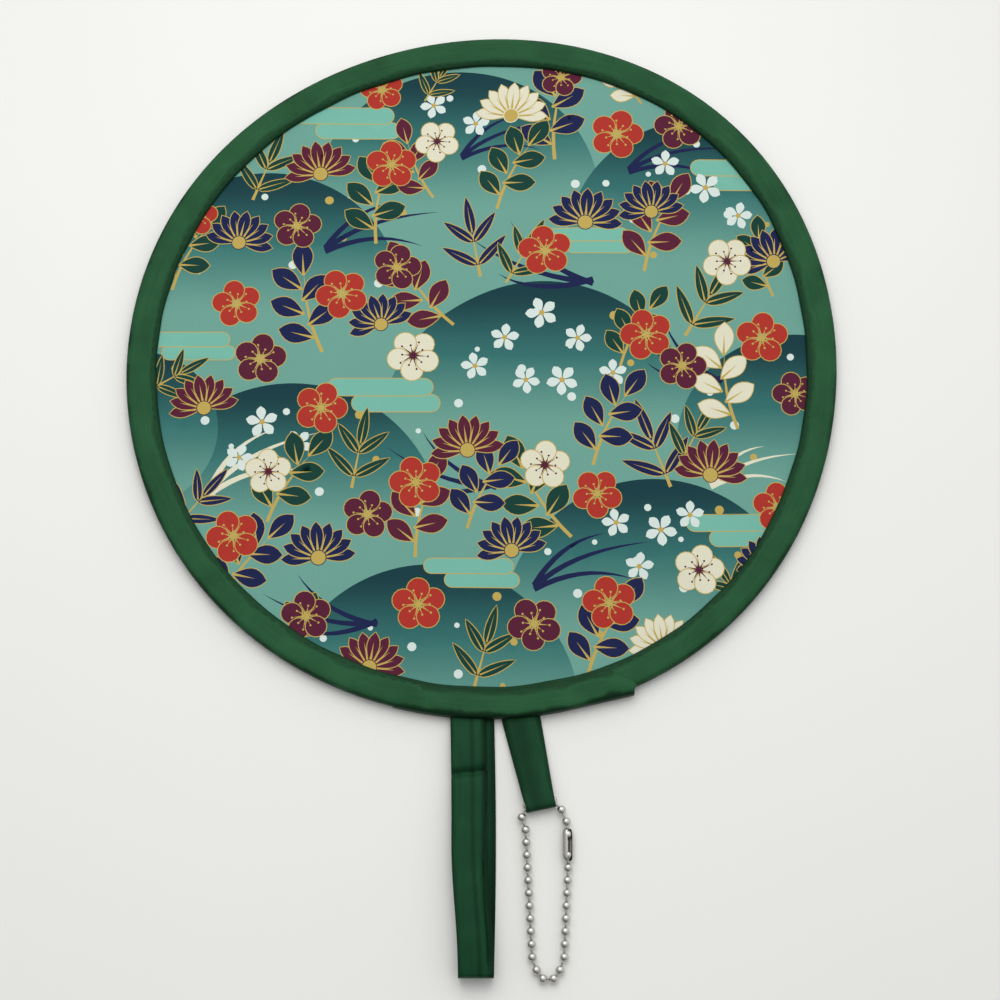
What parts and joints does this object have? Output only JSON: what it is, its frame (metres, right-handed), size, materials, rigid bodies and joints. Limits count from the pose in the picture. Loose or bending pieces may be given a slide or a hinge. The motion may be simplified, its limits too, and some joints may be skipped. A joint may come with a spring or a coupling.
{
  "type": "pop-up hoop fan",
  "caption": "Round folding hand fan: printed cloth on a sprung hoop bound in satin tape, with a hand strap and a ball-chain loop on a tab; it folds across the middle and springs flat.",
  "frame": {"origin": "on the surface the fan lies on, under the middle of its overall box", "axes": "+Z out of the printed front, +Y away from the strap along the fan's length, +X to the right seen from the front"},
  "size_m": [0.195, 0.2632, 0.0067],
  "materials": {
    "printed_cloth": "thin woven polyester with a printed front",
    "binding_satin": "dark green satin tape with a soft sheen",
    "strap_satin": "dark green satin tape, folded double",
    "seam_thread": "matt sewing thread",
    "spring_steel": "rolled spring strip",
    "nickel": "nickel-plated steel"
  },
  "bodies": {
    "fan_lower": {"cloth_lower": "printed_cloth", "hoop_lower": "spring_steel", "hoop_ferrule": "spring_steel", "binding_lower": "binding_satin", "seam_thread_lower": "seam_thread", "binding_lap": "binding_satin"},
    "fan_upper": {"cloth_upper": "printed_cloth", "hoop_upper": "spring_steel", "binding_upper": "binding_satin", "seam_thread_upper": "seam_thread"},
    "strap": {"hand_strap": "strap_satin"},
    "tab": {"chain_tab": "strap_satin"},
    "chain_top": {"bead_tunnel_mid": "nickel", "bead_tunnel_left": "nickel", "bead_tunnel_right": "nickel", "bead_upper_left_1": "nickel", "bead_upper_left_2": "nickel", "bead_upper_left_3": "nickel", "bead_upper_left_4": "nickel", "bead_upper_right_1": "nickel", "bead_upper_right_2": "nickel", "bead_clasp_upper": "nickel", "bead_clasp_lower": "nickel"},
    "connector": {"chain_connector": "nickel"},
    "chain_row_1": {"bead_row_1_left": "nickel", "bead_row_1_right": "nickel"},
    "chain_row_2": {"bead_row_2_left": "nickel", "bead_row_2_right": "nickel"},
    "chain_row_3": {"bead_row_3_left": "nickel", "bead_row_3_right": "nickel"},
    "chain_row_4": {"bead_row_4_left": "nickel", "bead_row_4_right": "nickel"},
    "chain_row_5": {"bead_row_5_left": "nickel", "bead_row_5_right": "nickel"},
    "chain_row_6": {"bead_row_6_left": "nickel", "bead_row_6_right": "nickel"},
    "chain_row_7": {"bead_row_7_left": "nickel", "bead_row_7_right": "nickel"},
    "chain_row_8": {"bead_row_8_left": "nickel", "bead_row_8_right": "nickel"},
    "chain_row_9": {"bead_row_9_left": "nickel", "bead_row_9_right": "nickel", "bead_bend_left": "nickel", "bead_bend_right": "nickel"}
  },
  "joints": [
    {"name": "fan_fold", "type": "hinge", "parent": "fan_lower", "child": "fan_upper", "pos_m": [0, 0.03407, 0.004], "axis": [1, 0, 0], "range_deg": [0, 150], "stiffness_Nm_per_rad": 0.15},
    {"name": "strap_swing", "type": "hinge", "parent": "fan_lower", "child": "strap", "pos_m": [-0.0013, -0.06443, 0.0008], "axis": [-1, 0, 0], "range_deg": [-90, 90]},
    {"name": "tab_swing", "type": "hinge", "parent": "fan_lower", "child": "tab", "pos_m": [0.01066, -0.06403, 0.0013], "axis": [-0.9774, -0.2113, 0], "range_deg": [-90, 90]},
    {"name": "chain_swing", "type": "hinge", "parent": "tab", "child": "chain_top", "pos_m": [0.01531, -0.08554, 0.00184], "axis": [-0.9774, -0.2113, 0], "range_deg": [-90, 90]},
    {"name": "connector_spin", "type": "hinge", "parent": "chain_top", "child": "connector", "pos_m": [0.02252, -0.09629, 0.00169], "axis": [0, 1, 0], "continuous": true},
    {"name": "chain_bend_1", "type": "hinge", "parent": "chain_top", "child": "chain_row_1", "pos_m": [0.01726, -0.1022, 0.00163], "axis": [-1, 0, 0], "range_deg": [-25, 25]},
    {"name": "chain_bend_2", "type": "hinge", "parent": "chain_row_1", "child": "chain_row_2", "pos_m": [0.01726, -0.10545, 0.00159], "axis": [-1, 0, 0], "range_deg": [-25, 25]},
    {"name": "chain_bend_3", "type": "hinge", "parent": "chain_row_2", "child": "chain_row_3", "pos_m": [0.01726, -0.1087, 0.00154], "axis": [-1, 0, 0], "range_deg": [-25, 25]},
    {"name": "chain_bend_4", "type": "hinge", "parent": "chain_row_3", "child": "chain_row_4", "pos_m": [0.01726, -0.11195, 0.0015], "axis": [-1, 0, 0], "range_deg": [-25, 25]},
    {"name": "chain_bend_5", "type": "hinge", "parent": "chain_row_4", "child": "chain_row_5", "pos_m": [0.01726, -0.1152, 0.00146], "axis": [-1, 0, 0], "range_deg": [-25, 25]},
    {"name": "chain_bend_6", "type": "hinge", "parent": "chain_row_5", "child": "chain_row_6", "pos_m": [0.01726, -0.11845, 0.00142], "axis": [-1, 0, 0], "range_deg": [-25, 25]},
    {"name": "chain_bend_7", "type": "hinge", "parent": "chain_row_6", "child": "chain_row_7", "pos_m": [0.01726, -0.1217, 0.00137], "axis": [-1, 0, 0], "range_deg": [-25, 25]},
    {"name": "chain_bend_8", "type": "hinge", "parent": "chain_row_7", "child": "chain_row_8", "pos_m": [0.01726, -0.12495, 0.00133], "axis": [-1, 0, 0], "range_deg": [-25, 25]},
    {"name": "chain_bend_9", "type": "hinge", "parent": "chain_row_8", "child": "chain_row_9", "pos_m": [0.01726, -0.1282, 0.00129], "axis": [-1, 0, 0], "range_deg": [-25, 25]}
  ]
}
